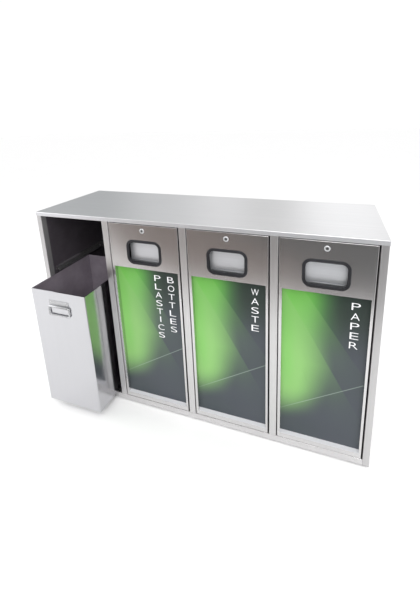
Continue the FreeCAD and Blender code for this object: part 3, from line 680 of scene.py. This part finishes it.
class STATION_OT_feet(StationOperator, bpy.types.Operator):
    """Turn the levelling feet: a stepped pad, a ringed stud and a lock nut"""
    bl_idname = "station.feet"
    bl_label = "Levelling feet"

    pad: length("Pad radius", "Radius of a foot's pad", 19)
    stud: length("Stud radius", "Radius of a stud over its rings", 5)
    nut: length("Nut radius", "Radius of the lock nut over its corners", 9)
    nut_foot: length("Nut foot", "From the floor up to the lock nut", 28.5)
    nut_height: length("Nut height", "Height of the lock nut", 5.5)
    nut_sides: IntProperty(name="Nut sides", description="Sides of the lock nut", default=6, min=3)

    def execute(self, context):
        colours = context.scene.station_colours
        plastic = moulded("plastic_black", colours.plastic, 0.5)
        bright = bright_metal("metal_bright", colours.hardware)
        low, high, middle = corners_of("levelling_feet")
        pad = self.pad
        spots = [(x, y) for x in (low.x + pad, high.x - pad) for y in (low.y + pad, high.y - pad)]
        spots.append((middle.x, middle.y))
        pad_top = 9.0
        outline = self.outline(pad_top)
        bm = bmesh.new()
        for x, y in spots:
            line = drawn_line(bm, [(x + out * MM, y, z * MM) for out, z in outline])
            turned(bm, line, (x, y, 0), (0, 0, 1), 32)
            self.add_nut(bm, x, y)
        closed_up(bm)
        for face in bm.faces:
            spot = face.calc_center_median()
            near = min(((spot.x - x) ** 2 + (spot.y - y) ** 2) ** 0.5 for x, y in spots)
            metal = spot.z > (pad_top + 0.1) * MM and near < self.nut + 0.5 * MM
            face.material_index = 1 if metal else 0
        node = "levelling_feet"
        place_piece(context, node + "_made", bm, (plastic, bright), "cabinet", "black_plastic", node)
        return {"FINISHED"}

    def outline(self, pad_top):
        """Radius and height in millimetres, from the pad's middle up to the top of the stud."""
        pad, stud = self.pad / MM, self.stud / MM
        half_pitch, ring_depth, first_ring, stud_top = 0.75, 0.35, 10.0, 34.2
        rings = [(stud - ring_depth * (step % 2), first_ring + half_pitch * step) for step in range(32)]
        return [
            (0, 0), (pad - 1.6, 0), (pad - 0.4, 0.6), (pad, 1.8), (pad, 4.2), (pad - 0.6, 5.2),
            (14, 6.6), (9.6, 7.2), (8.8, 8.2), (8.0, pad_top), (stud, pad_top), (stud, 9.4),
            *rings, (stud - 0.4, stud_top), (0, stud_top),
        ]

    def add_nut(self, bm, x, y):
        """A lock nut round the stud that stands at x and y."""
        foot = Matrix.Translation((x, y, self.nut_foot))
        spots = bmesh.ops.create_circle(
            bm, cap_ends=True, segments=self.nut_sides, radius=self.nut, matrix=foot
        )["verts"]
        rise = bmesh.ops.extrude_face_region(bm, geom=[spots[0].link_faces[0]])["geom"]
        tops = [item for item in rise if isinstance(item, bmesh.types.BMVert)]
        bmesh.ops.translate(bm, verts=tops, vec=(0, 0, self.nut_height))


class STATION_OT_doors(StationOperator, bpy.types.Operator):
    """Round the doors' folds and finish them, with their pivot pins"""
    bl_idname = "station.doors"
    bl_label = "Doors"

    ledge: length("Ledge", "How far in front of a print its pale ledge may reach", 20)

    def execute(self, context):
        sizes, colours = context.scene.station_sizes, context.scene.station_colours
        steel = brushed_sheet("steel_doors", colours.steel, 0.225, "Z", wave=0.0034)
        # Painted highlight: the ledges under the prints are a paler, nearly matt copy of the door steel.
        ledge_highlight_tint = shade(colours.painted_light_steel, 1.2)
        ledge = brushed_sheet("steel_ledges", ledge_highlight_tint, 0.45, "X", wave=0.001, metal=0.2)
        bright = bright_metal("metal_bright", colours.hardware)
        for bay in DOOR_BAYS:
            body = f"door_{bay}"
            low, high, _ = corners_of(f"graphic_panel_{bay}")
            shelf = (
                Vector((low.x, low.y - self.ledge, low.z - MM)),
                Vector((high.x, low.y + MM, low.z + MM)),
            )
            softened(
                context, f"door_panel_{bay}", body, "brushed_stainless", (steel, ledge),
                runs="XYZ", fold=sizes.fold, open_side="+Y", inner=shelf,
            )
            pins = f"pivot_pins_{bay}"
            softened(context, pins, body, "bright_hardware", (bright,), eased=sizes.fitting_edge)
        return {"FINISHED"}


class STATION_OT_prints(StationOperator, bpy.types.Operator):
    """Lay the printed panels in the doors and the letters of each stream's name on them"""
    bl_idname = "station.prints"
    bl_label = "Printed panels"

    def execute(self, context):
        colours = context.scene.station_colours
        laminate = printed_panel("print_laminated", colours)
        white = film("letter_film", colours.lettering)
        for bay in DOOR_BAYS:
            node, body = f"graphic_panel_{bay}", f"door_{bay}"
            low, high, _ = corners_of(node)
            bm = merged_copy(node)
            sheet_map = bm.loops.layers.uv.new("print")
            for face in bm.faces:
                for loop in face.loops:
                    spot = loop.vert.co
                    loop[sheet_map].uv = (
                        (spot.x - low.x) / (high.x - low.x), (spot.z - low.z) / (high.z - low.z)
                    )
            place_piece(context, node + "_made", bm, (laminate,), body, "printed_panel", node)
            bm = bmesh.new()
            for column, word in enumerate(reversed(STREAMS[bay])):
                self.stack(context, bm, word, column, low, high)
            place_piece(context, f"stream_name_{bay}", bm, (white,), body, "printed_panel")
        return {"FINISHED"}

    def stack(self, context, bm, word, column, low, high):
        """Stand a word's letters in one column, each drawn to the same height and width."""
        sizes = context.scene.station_sizes
        x = high.x - sizes.letter_inset - column * sizes.column_gap
        for place, letter in enumerate(word):
            mesh = self.letter(context, letter)
            spots = [vertex.co for vertex in mesh.vertices]
            left, right = min(s.x for s in spots), max(s.x for s in spots)
            bottom, top = min(s.y for s in spots), max(s.y for s in spots)
            one_stroke = (right - left) / (top - bottom) <= 0.35
            wide = sizes.letter_stem if one_stroke else sizes.letter_width
            z = high.z - sizes.letter_top - place * sizes.letter_pitch
            stand = (
                Matrix.Translation((x, low.y - sizes.letter_gauge / 2, z))
                @ Matrix.Rotation(pi / 2, 4, "X")
                @ Matrix.Diagonal((
                    wide / (right - left), sizes.letter_height / (top - bottom), sizes.letter_gauge, 1.0
                ))
                @ Matrix.Translation((-(left + right) / 2, -(bottom + top) / 2, 0))
            )
            mesh.transform(stand)
            bm.from_mesh(mesh)
            bpy.data.meshes.remove(mesh)
        bmesh.ops.remove_doubles(bm, verts=bm.verts, dist=0.00001)
        for face in bm.faces:
            face.smooth = False

    def letter(self, context, letter):
        """A letter one unit thick, lying flat, with its strokes thinned a little."""
        text = bpy.data.curves.new("letter", "FONT")
        text.body = letter
        text.extrude = 0.5
        text.offset = -0.013
        text.resolution_u = 6
        holder = bpy.data.objects.new("letter", text)
        context.scene.collection.objects.link(holder)
        context.view_layer.update()
        mesh = bpy.data.meshes.new_from_object(holder.evaluated_get(context.evaluated_depsgraph_get()))
        bpy.data.objects.remove(holder)
        bpy.data.curves.remove(text)
        return mesh


class STATION_OT_windows(StationOperator, bpy.types.Operator):
    """Sweep the rubber trims round the windows"""
    bl_idname = "station.windows"
    bl_label = "Window trims"

    lip: length("Lip", "Width of the lip in front", 13)
    corner: length("Corner", "Corner radius of the opening", 22)

    def execute(self, context):
        sizes, colours = context.scene.station_sizes, context.scene.station_colours
        rubber = moulded("rubber_black", colours.rubber, 0.42)
        groove, lip = sizes.lip_groove / MM, self.lip / MM
        section = (
            (0, 6.2), (0, 1.4), (0.5, 0.5), (1.6, 0.05), (2.9, 0), (4.0, 0.35), (4.8, groove),
            (5.8, groove), (6.6, 0.45), (7.8, 0.1), (9.4, 0.05), (lip - 1.8, 0.45), (lip - 0.6, 1.2),
            (lip, 2.48), (3.02, 2.49), (3.02, 4.01), (7, 4.02), (7, 5.4), (6.2, 6.4), (0.5, 6.5),
        )
        for bay in DOOR_BAYS:
            node = f"window_trim_{bay}"
            low, high, middle = corners_of(node)
            half_width = (high.x - low.x) / 2 - self.lip
            half_height = (high.z - low.z) / 2 - self.lip
            sill = middle.z - half_height
            bm = bmesh.new()
            loop = drawn_line(
                bm, [(middle.x, low.y + y * MM, sill - out * MM) for out, y in section], closed=True
            )
            swept_round(bm, loop, middle, half_width, half_height, self.corner, 10)
            closed_up(bm)
            place_piece(context, node + "_made", bm, (rubber,), f"door_{bay}", "trim_rubber", node)
        return {"FINISHED"}


class STATION_OT_flaps(StationOperator, bpy.types.Operator):
    """Finish the flaps, their axles and their brackets"""
    bl_idname = "station.flaps"
    bl_label = "Flaps"

    hem: length("Hem", "Height of the flap's lower hem", 10)
    hem_roll: length("Hem roll", "Radius of the hem's front edges", 2.2)

    def execute(self, context):
        sizes, colours = context.scene.station_sizes, context.scene.station_colours
        satin = brushed_sheet("steel_flaps", colours.flap_steel, 0.42, "X", wave=0.001, metal=0.8)
        # Painted shade: the flap's lower hem is a darker copy of the flap steel.
        hem_shade_tint = shade(colours.flap_steel, 0.36)
        hem_shade_steel = brushed_sheet("steel_flap_hems", hem_shade_tint, 0.5, "X", wave=0.001, metal=0.8)
        bright = bright_metal("metal_bright", colours.hardware)
        for bay in DOOR_BAYS:
            node = f"flap_{bay}"
            flap = softened(
                context, node, node, "satin_stainless", (satin, hem_shade_steel),
                eased=sizes.flap_edge, first=self.roll_hem,
            )
            low, _, middle = corners_of(node)
            # The hem's front faces take the painted-shade copy.
            for face in flap.data.polygons:
                if face.center.z < low.z + self.hem + MM and face.center.y < middle.y:
                    face.material_index = 1
            for fitting in ("flap_axle", "flap_brackets"):
                softened(context, f"{fitting}_{bay}", f"door_{bay}", "bright_hardware", (bright,))
        return {"FINISHED"}

    def roll_hem(self, bm, low, high):
        """Roll the front edges of the flap's lower hem."""
        top, front = low.z + self.hem, (low.y + high.y) / 2 - 2 * MM
        rolled = [
            edge for edge in sharp_edges(bm)
            if all(spot.co.z < top + 0.1 * MM and spot.co.y < front for spot in edge.verts)
            and abs(edge.verts[0].co.x - edge.verts[1].co.x) > (high.x - low.x) / 2
        ]
        round_edges(bm, rolled, self.hem_roll, 5)


class STATION_OT_locks(StationOperator, bpy.types.Operator):
    """Turn the lock faces and finish their plugs and cams"""
    bl_idname = "station.locks"
    bl_label = "Locks"

    def execute(self, context):
        sizes, colours = context.scene.station_sizes, context.scene.station_colours
        bright = bright_metal("metal_bright", colours.hardware)
        face = satin_nickel("metal_nickel", colours.hardware)
        core = satin_nickel("metal_lock_core", shade(colours.hardware, 0.2))
        section = (
            (6.06, 27.9), (6.06, 0.55), (6.3, 0.15), (6.8, 0), (8.2, 0.12), (9.6, 0.45), (10.8, 1.0),
            (11.4, 1.6), (11.5, 1.98), (9.0, 1.99), (9.0, 27.2), (8.6, 27.9),
        )
        for bay in DOOR_BAYS:
            node = f"lock_barrel_{bay}"
            low, _, middle = corners_of(node)
            bm = bmesh.new()
            loop = drawn_line(
                bm, [(middle.x + out * MM, low.y + y * MM, middle.z) for out, y in section], closed=True
            )
            turned(bm, loop, middle, (0, 1, 0), 48)
            closed_up(bm)
            place_piece(context, node + "_made", bm, (face,), f"door_{bay}", "bright_hardware", node)
            plug, cam, body = f"lock_plug_{bay}", f"lock_cam_{bay}", f"lock_{bay}"
            softened(context, plug, body, "bright_hardware", (core,), eased=sizes.plug_edge)
            softened(context, cam, body, "bright_hardware", (bright,))
        return {"FINISHED"}


class STATION_OT_bins(StationOperator, bpy.types.Operator):
    """Round the folds of the bins and give them their satin outside and an inside painted dark as painted
    shade
    """
    bl_idname = "station.bins"
    bl_label = "Bins"

    def execute(self, context):
        sizes, colours = context.scene.station_sizes, context.scene.station_colours
        satin = brushed_sheet("steel_bins", colours.bin_steel, 0.17, "Z", wave=0.0018, soil=0.05)
        # Painted shade: the bins' inner faces are painted dark, three times the tint of the cabinet's
        # painted shade.
        painted_shade = shade_painted_sheet("steel_bin_inside", shade(colours.painted_shade_tint, 3.0), 0.5, 0.3)
        for bay in BAYS:
            node = f"bin_{bay}"
            low, high, _ = corners_of(node)
            hollow = (low + Vector((0.5, 0.5, 0.5)) * MM, high - Vector((0.5, 0.5, 1.5)) * MM)
            softened(
                context, node, node, "satin_stainless", (satin, painted_shade),
                runs="XYZ", fold=sizes.bin_fold, open_side="+Z", inner=hollow,
            )
        return {"FINISHED"}


class STATION_OT_bin_handles(StationOperator, bpy.types.Operator):
    """Finish the handle plates with their rivets and bend the wire bails"""
    bl_idname = "station.bin_handles"
    bl_label = "Bin handles"

    wire: length("Wire radius", "Half the wire's diameter", 3.5)
    bend: length("Bend radius", "At the wire's middle line", 7)
    half_span: length("Half span", "Half the bail's width between the wire's middle lines", 59)
    plate_gauge: length("Plate gauge", "Thickness of the handle plate", 1.5)
    rivet_spread: length("Rivet spread", "From the plate's middle to each rivet", 44)
    rivet_drop: length("Rivet drop", "From the plate's top edge down to the rivets", 8)

    def execute(self, context):
        sizes, colours = context.scene.station_sizes, context.scene.station_colours
        bright = bright_metal("metal_bright", colours.hardware)
        wire_metal = bright_metal("metal_wire", shade(colours.hardware, 0.85), 0.24)
        plate_metal = bright_metal("metal_plate", shade(colours.hardware, 0.8), 0.3)
        for bay in BAYS:
            plate, bail, body = f"handle_plate_{bay}", f"bail_{bay}", f"bin_{bay}"
            softened(context, plate, body, "bright_hardware", (plate_metal,), eased=sizes.fitting_edge)
            self.rivets(context, plate, bay, bright)
            low, high, middle = corners_of(bail)
            middle.x = corners_of(plate)[2].x
            half_height = (high.z - low.z) / 2 - self.wire
            bottom = Matrix.Translation((middle.x, middle.y, middle.z - half_height))
            stand = bottom @ Matrix.Rotation(pi / 2, 4, "Y")
            bm = bmesh.new()
            ring = bmesh.ops.create_circle(
                bm, cap_ends=False, segments=16, radius=self.wire, matrix=stand
            )["verts"]
            loop = ring + list({edge for spot in ring for edge in spot.link_edges})
            swept_round(bm, loop, middle, self.half_span, half_height, self.bend, 8)
            closed_up(bm)
            place_piece(context, bail + "_made", bm, (wire_metal,), bail, "bright_hardware", bail)
        return {"FINISHED"}

    def rivets(self, context, plate, bay, metal):
        """Two domed rivet heads near the ends of the plate."""
        _, high, middle = corners_of(plate)
        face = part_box(f"bin_{bay}")[0].y - self.plate_gauge
        dome = ((0, -1.3), (1.6, -1.15), (2.9, -0.65), (3.4, 0.05), (0, 0.05))
        bm = bmesh.new()
        for side in (-1, 1):
            x, z = middle.x + side * self.rivet_spread, high.z - self.rivet_drop
            line = drawn_line(bm, [(x + out * MM, face + y * MM, z) for out, y in dome])
            turned(bm, line, (x, face, z), (0, 1, 0), 20)
        closed_up(bm)
        place_piece(context, f"handle_rivets_{bay}", bm, (metal,), f"bin_{bay}", "bright_hardware")


class STATION_OT_stage(StationOperator, bpy.types.Operator):
    """Lay the floor, hang the cards and lamps and set up the camera"""
    bl_idname = "station.stage"
    bl_label = "Studio"

    spread: FloatProperty(name="Floor", description="Half the floor's width", default=30.0, unit="LENGTH")

    def execute(self, context):
        scene = context.scene
        light, colours = scene.station_light, scene.station_colours
        pale = studio_floor("floor_pale", colours.floor)
        across = Matrix.Diagonal((self.spread, self.spread, 1, 1))
        self.card(context, "studio_floor", across, pale, seen=True)
        for name, (centre, half_size, slant, tone, *turns) in CARDS.items():
            stand = Matrix.Translation(centre) @ Matrix.Rotation(pi / 2, 4, "X")
            place = stand @ Matrix.Diagonal((*half_size, 1, 1))
            self.card(context, f"card_{name}", place, glow_card(f"glow_{name}", slant, tone, *turns))

        world = bpy.data.worlds.new("studio")
        world.use_nodes = True
        backdrop = world.node_tree.nodes["Background"]
        backdrop.inputs["Color"].default_value = (1.0, 1.0, 1.0, 1.0)
        backdrop.inputs["Strength"].default_value = light.sky
        scene.world = world
        self.lamp(context, "key_lamp", *KEY_LAMP, light.key)
        self.lamp(context, "fill_lamp", *FILL_LAMP, light.fill)

        lens = bpy.data.cameras.new("camera")
        lens.sensor_width, lens.lens = SENSOR_WIDTH_MM, FOCAL_LENGTH_MM
        lens.shift_x, lens.shift_y = LENS_SHIFT
        lens.clip_start, lens.clip_end = 0.05, 100.0
        camera = bpy.data.objects.new("camera", lens)
        camera.location = CAMERA_PLACE
        camera.rotation_euler = Euler(CAMERA_TURN)
        scene.collection.objects.link(camera)
        scene.camera = camera
        scene.view_settings.view_transform = "Standard"
        return {"FINISHED"}

    def card(self, context, name, place, material, seen=False):
        """A flat card of the stage; the ones that aren't seen only show in the steel."""
        bm = bmesh.new()
        bmesh.ops.create_grid(bm, x_segments=1, y_segments=1, size=1.0, matrix=place)
        mesh = bpy.data.meshes.new(name)
        bm.to_mesh(mesh)
        bm.free()
        mesh.materials.append(material)
        card = bpy.data.objects.new(name, mesh)
        context.scene.collection.objects.link(card)
        if not seen:
            card.visible_camera = card.visible_diffuse = False
            card.visible_shadow = card.visible_transmission = False

    def lamp(self, context, name, place, size, watts):
        """A square soft lamp aimed at the station."""
        lamp = bpy.data.lights.new(name, "AREA")
        lamp.shape = "SQUARE"
        lamp.energy, lamp.size = watts, size
        holder = bpy.data.objects.new(name, lamp)
        holder.location = place
        aim = Vector(LAMP_AIM) - Vector(place)
        holder.rotation_euler = aim.to_track_quat("-Z", "Y").to_euler()
        context.scene.collection.objects.link(holder)


OPERATORS = (
    STATION_OT_cabinet,
    STATION_OT_inner_parts,
    STATION_OT_feet,
    STATION_OT_doors,
    STATION_OT_prints,
    STATION_OT_windows,
    STATION_OT_flaps,
    STATION_OT_locks,
    STATION_OT_bins,
    STATION_OT_bin_handles,
    STATION_OT_stage,
)


class STATION_PT_sidebar(bpy.types.Panel):
    """The bin station's sizes, colours and pieces, in the order that they are made"""
    bl_idname = "STATION_PT_sidebar"
    bl_label = "Bin station"
    bl_space_type = "VIEW_3D"
    bl_region_type = "UI"
    bl_category = "Bin station"

    def draw(self, context):
        for title, settings in (
            ("Sizes", context.scene.station_sizes),
            ("Colours", context.scene.station_colours),
            ("Light", context.scene.station_light),
        ):
            box = self.layout.box()
            box.label(text=title)
            for name in settings.__annotations__:
                box.prop(settings, name)
        column = self.layout.column()
        for operator in OPERATORS:
            column.operator(operator.bl_idname)


SETTINGS = {"station_sizes": StationSizes, "station_colours": StationColours, "station_light": StationLight}


def register():
    for item in (*SETTINGS.values(), *OPERATORS, STATION_PT_sidebar):
        bpy.utils.register_class(item)
    for name, group in SETTINGS.items():
        setattr(bpy.types.Scene, name, PointerProperty(type=group))


def unregister():
    for name in SETTINGS:
        delattr(bpy.types.Scene, name)
    for item in (STATION_PT_sidebar, *reversed(OPERATORS), *reversed(SETTINGS.values())):
        bpy.utils.unregister_class(item)


def main():
    register()
    for operator in OPERATORS:
        group, name = operator.bl_idname.split(".")
        getattr(getattr(bpy.ops, group), name)()
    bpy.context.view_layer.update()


if __name__ == "__main__":
    main()
